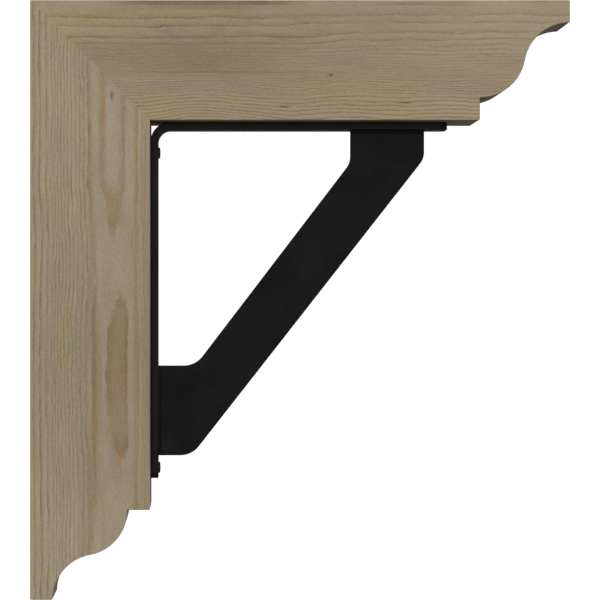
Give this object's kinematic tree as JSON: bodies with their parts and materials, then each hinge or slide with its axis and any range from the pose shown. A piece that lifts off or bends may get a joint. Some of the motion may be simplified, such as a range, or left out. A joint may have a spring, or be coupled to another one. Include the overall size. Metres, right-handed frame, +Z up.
{
  "type": "wooden corbel bracket",
  "caption": "L-shaped timber corbel bracket with mitred corner, ogee-cut ends, and a black steel angle strap with diagonal brace plate, to hold a shelf or beam on a wall",
  "frame": {"origin": "centre of the wall face of the upright timber, at half its height and half its width", "axes": "+X away from the wall, +Z up, Y across the width of the timbers"},
  "size_m": [0.4572, 0.1016, 0.508],
  "materials": {
    "arm_wood": "bare, brushed",
    "leg_wood": "bare, brushed",
    "black_steel": "matte powder coat",
    "screw_steel": "matte black"
  },
  "bodies": {
    "root": {"timber_top_arm": "arm_wood", "timber_wall_leg": "leg_wood", "steel_angle_strap": "black_steel", "steel_diagonal_brace": "black_steel", "screw_upper": "screw_steel", "screw_lower": "screw_steel"}
  },
  "joints": []
}
